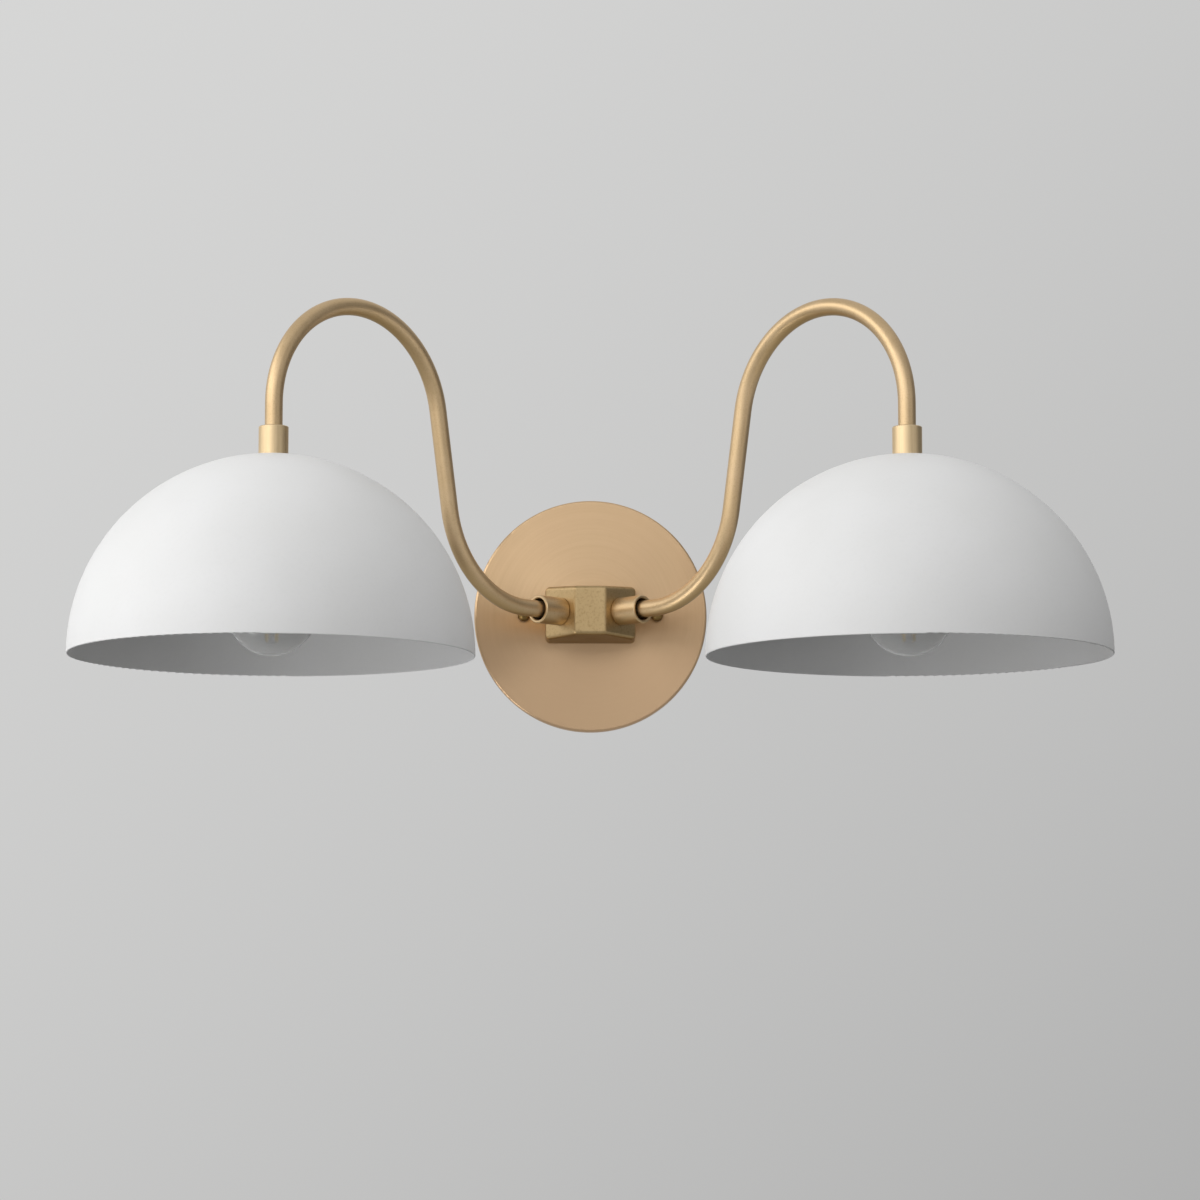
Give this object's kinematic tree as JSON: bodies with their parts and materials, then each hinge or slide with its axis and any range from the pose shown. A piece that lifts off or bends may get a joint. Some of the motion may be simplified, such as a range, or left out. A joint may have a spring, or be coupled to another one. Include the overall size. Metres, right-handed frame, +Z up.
{
  "type": "double arm wall sconce",
  "caption": "Wall light with a round brass canopy, a cast hub and gooseneck arms at right angles, each carrying a white domed shade over a clear globe lamp.",
  "frame": {"origin": "centre of the canopy's rear face, in the plane of the wall, midway between the box screws", "axes": "+Z up, +X to the right as one faces the wall, +Y into the wall; the sconce stands out towards -Y"},
  "size_m": [0.5536, 0.2871, 0.2257],
  "materials": {
    "satin_brass": "satin, brushed in circles",
    "aged_brass": "aged satin, fine grain",
    "plain_brass": "brushed",
    "white_enamel": "smooth matt white",
    "zinc_steel": "zinc plated",
    "green_steel": "green dip on steel",
    "porcelain": "white glaze",
    "shell_brass": "bright pressed brass",
    "clear_glass": "clear",
    "nickel": "bright rolled metal",
    "dark_glass": "dark fused glass",
    "solder": "dull solder",
    "filament_coat": "yellow coat"
  },
  "bodies": {
    "fixture": {"canopy": "satin_brass", "wall_bracket": "zinc_steel", "canopy_studs": "zinc_steel", "ground_screw": "green_steel", "hub": "aged_brass", "hub_nipple": "zinc_steel", "hub_washer": "zinc_steel", "hub_nut": "zinc_steel", "left_arm_sleeve": "aged_brass", "right_arm_sleeve": "aged_brass", "left_arm": "aged_brass", "right_arm": "aged_brass", "left_shade_collar": "plain_brass", "right_shade_collar": "plain_brass", "left_shade": "white_enamel", "right_shade": "white_enamel", "left_shade_nipple": "zinc_steel", "right_shade_nipple": "zinc_steel", "left_shade_washer": "zinc_steel", "right_shade_washer": "zinc_steel", "left_shade_nut": "zinc_steel", "right_shade_nut": "zinc_steel", "left_socket_hickey": "zinc_steel", "right_socket_hickey": "zinc_steel", "left_socket_screws": "zinc_steel", "right_socket_screws": "zinc_steel", "left_socket_body": "porcelain", "right_socket_body": "porcelain", "left_socket_shell": "shell_brass", "right_socket_shell": "shell_brass", "left_socket_contact": "shell_brass", "right_socket_contact": "shell_brass"},
    "left_ball_nut": {"left_ball_nut": "plain_brass"},
    "right_ball_nut": {"right_ball_nut": "plain_brass"},
    "left_lamp": {"left_lamp_globe": "clear_glass", "left_lamp_base": "nickel", "left_lamp_insulator": "dark_glass", "left_lamp_tip": "solder", "left_lamp_stem": "clear_glass", "left_lamp_filaments": "filament_coat", "left_lamp_wires": "nickel"},
    "right_lamp": {"right_lamp_globe": "clear_glass", "right_lamp_base": "nickel", "right_lamp_insulator": "dark_glass", "right_lamp_tip": "solder", "right_lamp_stem": "clear_glass", "right_lamp_filaments": "filament_coat", "right_lamp_wires": "nickel"}
  },
  "joints": [
    {"name": "left_ball_nut_off", "type": "slide", "parent": "fixture", "child": "left_ball_nut", "axis": [0, -1, 0], "range_m": [0, 0.012]},
    {"name": "right_ball_nut_off", "type": "slide", "parent": "fixture", "child": "right_ball_nut", "axis": [0, -1, 0], "range_m": [0, 0.012]},
    {"name": "left_lamp_out", "type": "slide", "parent": "fixture", "child": "left_lamp", "axis": [0, 0, -1], "range_m": [0, 0.035]},
    {"name": "right_lamp_out", "type": "slide", "parent": "fixture", "child": "right_lamp", "axis": [0, 0, -1], "range_m": [0, 0.035]}
  ]
}
